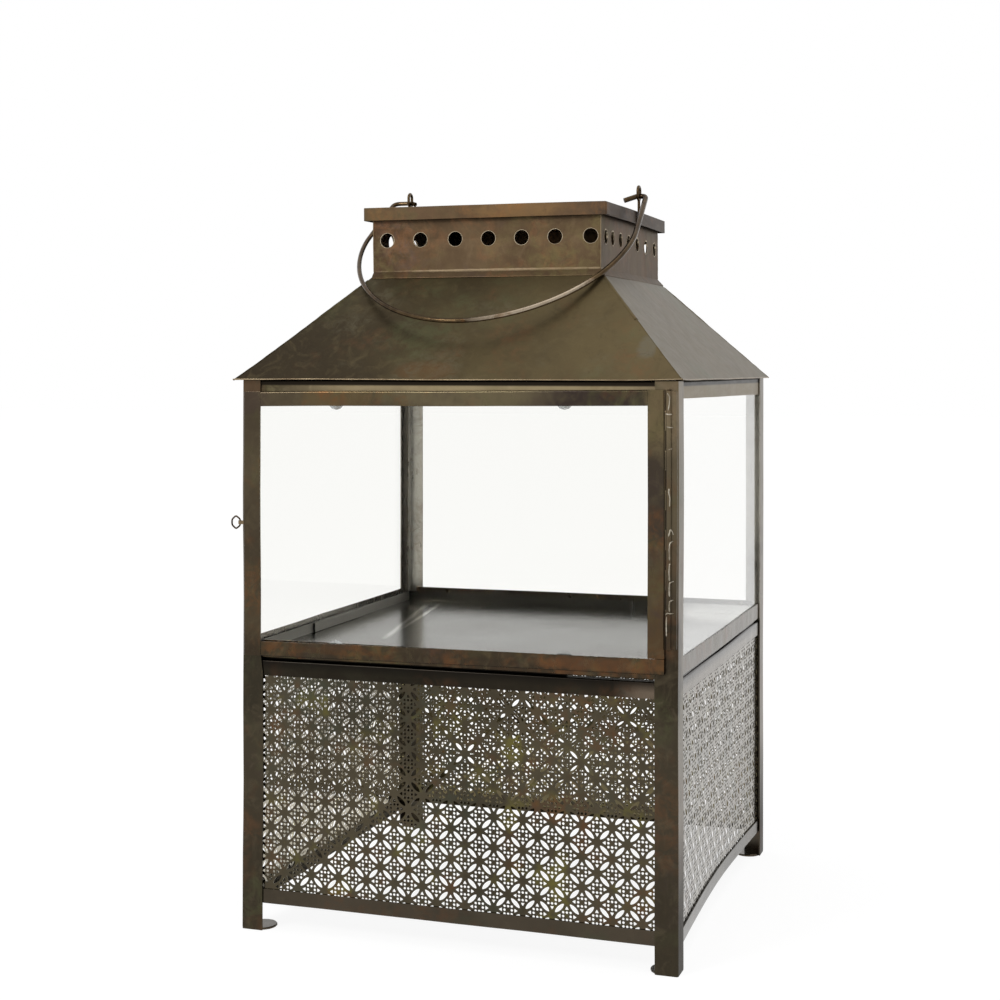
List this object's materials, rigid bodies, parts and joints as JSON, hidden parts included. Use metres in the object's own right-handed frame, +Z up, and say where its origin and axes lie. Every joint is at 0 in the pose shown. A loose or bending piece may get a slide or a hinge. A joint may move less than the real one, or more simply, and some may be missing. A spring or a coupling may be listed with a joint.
{
  "type": "lantern floor lamp",
  "caption": "Tall square candle lantern of folded bronze-patina metal with perforated lower panels, glazed sides, a hinged glass door, hipped roof, vented chimney cap and wire bail handle.",
  "frame": {"origin": "middle of the footprint at floor level, under the feet", "axes": "+Z up, -Y towards the glazed door at the front, +X towards the side that the door hinges on"},
  "size_m": [0.5056, 0.5007, 0.8268],
  "materials": {
    "bronze_patina": "dark olive-brown bronze patina with rust-orange and purple-brown clouds, satin",
    "pale_bronze_patina": "lighter golden-brown bronze patina, satin",
    "soldered_bronze": "rough grey-brown solder over bronze, half bright",
    "dark_wire": "smooth dark bronze wire",
    "zinc_sheet": "dark grey zinc sheet with a thin patina, glossy",
    "clear_glass": "clear float glass with a faint grey-green cast"
  },
  "bodies": {
    "lantern_body": {"post_front_left": "bronze_patina", "post_front_right": "bronze_patina", "post_rear_right": "bronze_patina", "post_rear_left": "bronze_patina", "foot_front_left": "bronze_patina", "foot_front_right": "bronze_patina", "foot_rear_right": "bronze_patina", "foot_rear_left": "bronze_patina", "base_rail_front": "bronze_patina", "base_rail_right": "bronze_patina", "base_rail_rear": "bronze_patina", "base_rail_left": "bronze_patina", "grille_front": "bronze_patina", "grille_right": "bronze_patina", "grille_rear": "bronze_patina", "grille_left": "bronze_patina", "waist_rail_front": "bronze_patina", "waist_rail_right": "bronze_patina", "waist_rail_rear": "bronze_patina", "waist_rail_left": "bronze_patina", "sill_rail_front": "bronze_patina", "sill_rail_right": "bronze_patina", "sill_rail_rear": "bronze_patina", "sill_rail_left": "bronze_patina", "head_rail_front": "bronze_patina", "head_rail_right": "bronze_patina", "head_rail_rear": "bronze_patina", "head_rail_left": "bronze_patina", "roof_front": "bronze_patina", "roof_right": "bronze_patina", "roof_rear": "bronze_patina", "roof_left": "bronze_patina", "tray": "zinc_sheet", "glazing_strip_right": "zinc_sheet", "glazing_strip_rear": "zinc_sheet", "glazing_strip_left": "zinc_sheet", "pane_right": "clear_glass", "pane_rear": "clear_glass", "pane_left": "clear_glass", "chimney": "pale_bronze_patina", "cap": "pale_bronze_patina", "eye_left": "dark_wire", "eye_right": "dark_wire", "hinge_pin": "dark_wire", "latch_stud": "dark_wire", "hinge_post_leaf": "soldered_bronze"},
    "door": {"door_latch_stile": "bronze_patina", "door_hinge_stile": "bronze_patina", "door_bottom_rail": "bronze_patina", "door_top_rail": "bronze_patina", "door_pane": "clear_glass", "hinge_door_leaf": "soldered_bronze", "latch_knuckle": "soldered_bronze", "door_clip_top_left": "soldered_bronze", "door_clip_top_right": "soldered_bronze", "door_clip_bottom_left": "soldered_bronze", "door_clip_bottom_right": "soldered_bronze"},
    "bail": {"bail": "dark_wire"},
    "latch": {"latch_loop": "dark_wire"}
  },
  "joints": [
    {"name": "door_hinge", "type": "hinge", "parent": "lantern_body", "child": "door", "pos_m": [0.2349, -0.2486, 0.46], "axis": [0, 0, 1], "range_deg": [0, 170]},
    {"name": "bail_pivot", "type": "hinge", "parent": "lantern_body", "child": "bail", "pos_m": [0, 0, 0.814], "axis": [-1, 0, 0], "range_deg": [0, 248.3]},
    {"name": "latch_pivot", "type": "hinge", "parent": "door", "child": "latch", "pos_m": [-0.2454, -0.2469, 0.446], "axis": [0, 0, -1], "range_deg": [-90, 90]}
  ]
}
